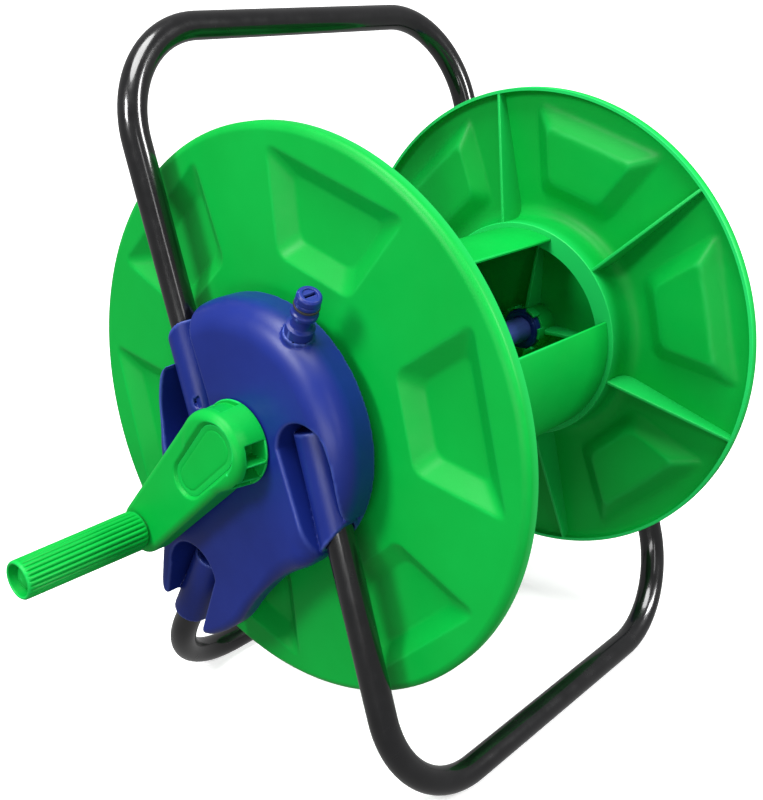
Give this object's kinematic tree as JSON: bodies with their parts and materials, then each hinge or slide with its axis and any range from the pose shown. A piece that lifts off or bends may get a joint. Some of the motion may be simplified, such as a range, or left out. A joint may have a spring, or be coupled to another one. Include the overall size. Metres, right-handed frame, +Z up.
{
  "type": "portable hose reel",
  "caption": "Portable garden hose reel: green drum and flanges with a crank, carried by blue brackets on a stand of bent black steel tubes.",
  "frame": {"origin": "middle of the overall box, on the floor that the two feet stand on", "axes": "+X along the reel's axis from the crank side to the far side, +Y to the rear (the handle's side), +Z up"},
  "size_m": [0.5016, 0.38, 0.496],
  "materials": {
    "green_plastic": "satin moulded polypropylene",
    "blue_plastic": "satin moulded polypropylene",
    "black_paint": "gloss black enamel on steel tube",
    "black_rubber": "smooth moulded rubber",
    "white_acetal": "smooth acetal",
    "zinc_steel": "zinc plated"
  },
  "bodies": {
    "stand": {"handle_tube": "black_paint", "front_foot_tube": "black_paint", "rear_foot_tube": "black_paint", "crank_side_bracket": "blue_plastic", "far_side_bracket": "blue_plastic", "crank_side_bush": "white_acetal", "far_side_bush": "white_acetal", "inlet_nipple": "blue_plastic", "inlet_oring": "black_rubber", "water_manifold": "blue_plastic", "manifold_seal_inner": "black_rubber", "manifold_seal_outer": "black_rubber", "handle_screw_crank_side": "zinc_steel", "handle_screw_far_side": "zinc_steel", "front_foot_screw_crank_side": "zinc_steel", "front_foot_screw_far_side": "zinc_steel", "rear_foot_screw_crank_side": "zinc_steel", "rear_foot_screw_far_side": "zinc_steel"},
    "reel": {"crank_side_flange": "green_plastic", "far_side_flange": "green_plastic", "drum_shell": "green_plastic", "axle_tube": "blue_plastic", "axle_end_disc": "blue_plastic", "outlet_tee": "blue_plastic", "outlet_nipple": "blue_plastic", "outlet_oring": "black_rubber", "crank_arm": "green_plastic", "crank_cap": "green_plastic", "crank_washer": "zinc_steel", "crank_screw": "zinc_steel", "grip_spindle": "green_plastic", "grip_washer": "white_acetal"},
    "grip_body": {"grip": "green_plastic"}
  },
  "joints": [
    {"name": "reel_spin", "type": "hinge", "parent": "stand", "child": "reel", "pos_m": [0.05625, 0, 0.24752], "axis": [1, 0, 0], "continuous": true},
    {"name": "grip_spin", "type": "hinge", "parent": "reel", "child": "grip_body", "pos_m": [-0.15935, 0.0745, 0.16992], "axis": [1, 0, 0], "continuous": true}
  ]
}
